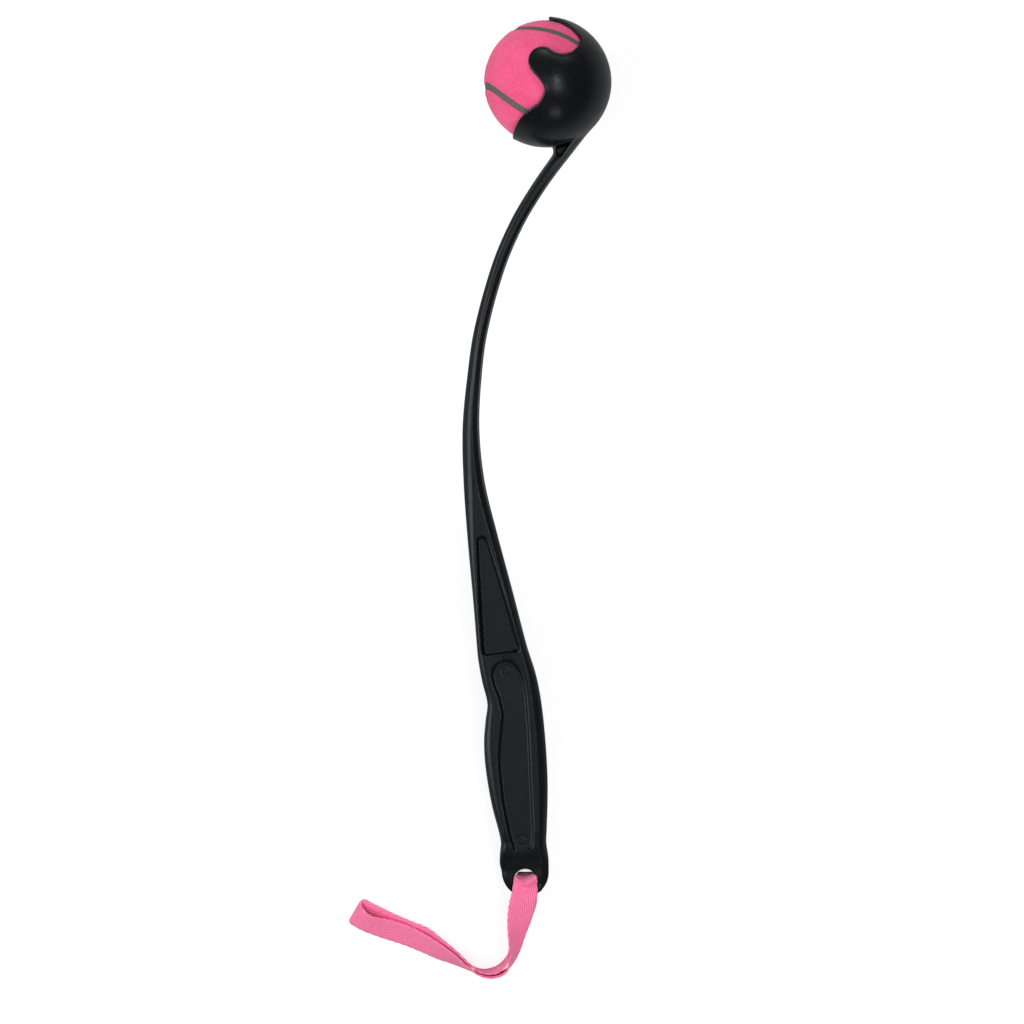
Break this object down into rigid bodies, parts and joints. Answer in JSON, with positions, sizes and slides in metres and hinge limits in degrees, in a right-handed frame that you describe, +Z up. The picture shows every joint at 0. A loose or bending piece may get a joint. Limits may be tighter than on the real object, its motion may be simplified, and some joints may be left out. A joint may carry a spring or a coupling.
{
  "type": "dog ball thrower",
  "caption": "Bowed plastic throwing arm with a round ball cup, a pocketed finger grip, a felt-covered ball held in the cup and a woven wrist loop through the end eye.",
  "frame": {"origin": "middle of the bounding box's base, on the surface that the thrower lies on", "axes": "+Z up from that surface, +Y along the thrower from the wrist loop to the ball, +X to the side that the cup opens away from"},
  "size_m": [0.1358, 0.4966, 0.0677],
  "materials": {
    "body_plastic": "satin moulded",
    "core_rubber": "matte",
    "ball_felt": "napped felt",
    "seam_rubber": "matte",
    "tape_weave": "herringbone twill"
  },
  "bodies": {
    "thrower": {"thrower_body": "body_plastic"},
    "ball": {"ball_core_half_a": "core_rubber", "ball_core_half_b": "core_rubber", "ball_felt_panel_a": "ball_felt", "ball_felt_panel_b": "ball_felt", "ball_seam": "seam_rubber"},
    "strap": {"wrist_tape": "tape_weave"}
  },
  "joints": [
    {"name": "ball_release", "type": "slide", "parent": "thrower", "child": "ball", "axis": [-0.9489, 0.315, 0.0195], "range_m": [0, 0.08]},
    {"name": "strap_swing", "type": "hinge", "parent": "thrower", "child": "strap", "pos_m": [0.02341, -0.19759, 0.00842], "axis": [0, -0.0618, 0.9981], "range_deg": [-30, 30]}
  ]
}
